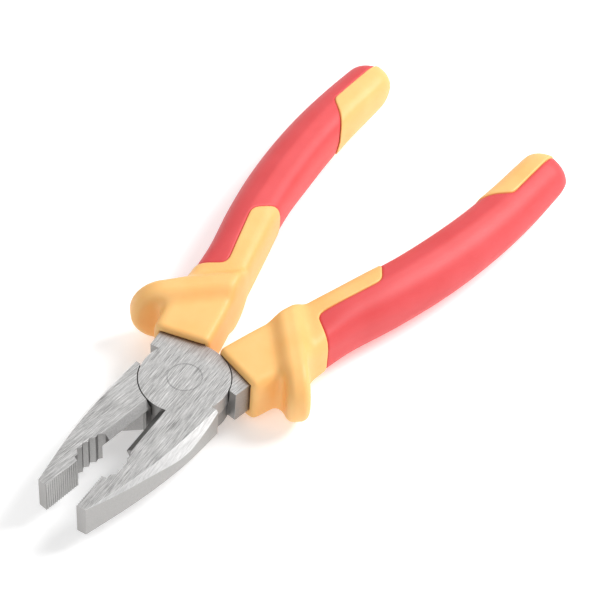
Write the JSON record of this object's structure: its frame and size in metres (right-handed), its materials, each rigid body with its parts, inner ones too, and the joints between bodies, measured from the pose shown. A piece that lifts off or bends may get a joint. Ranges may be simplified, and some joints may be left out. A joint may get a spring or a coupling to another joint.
{
  "type": "insulated lineman pliers",
  "caption": "Insulated combination pliers: serrated tips, pipe grip, side cutter, riveted lap joint and two-colour grips with hand guards.",
  "frame": {"origin": "on the pivot axis, in the plane of the head's back face", "axes": "+X from the pivot to the jaw tips along the centre line of the tool as it lies open at rest, +Z along the pivot axis towards the front face, +Y to the upper-lap jaw's side"},
  "size_m": [0.2019, 0.0826, 0.0226],
  "materials": {
    "ground_steel": "linear ground forged steel",
    "rivet_steel": "rivet ground flush with the head",
    "yellow_plastic": "satin moulded plastic",
    "red_plastic": "satin moulded plastic"
  },
  "bodies": {
    "left_handle_half": {"upper_lap_half": "ground_steel", "pivot_rivet": "rivet_steel", "left_guard_sleeve": "yellow_plastic", "left_grip_cover": "red_plastic"},
    "right_handle_half": {"lower_lap_half": "ground_steel", "right_guard_sleeve": "yellow_plastic", "right_grip_cover": "red_plastic"}
  },
  "joints": [
    {"name": "jaw_pivot", "type": "hinge", "parent": "left_handle_half", "child": "right_handle_half", "pos_m": [0, 0, 0], "axis": [0, 0, -1], "range_deg": [-11.3, 28]}
  ]
}
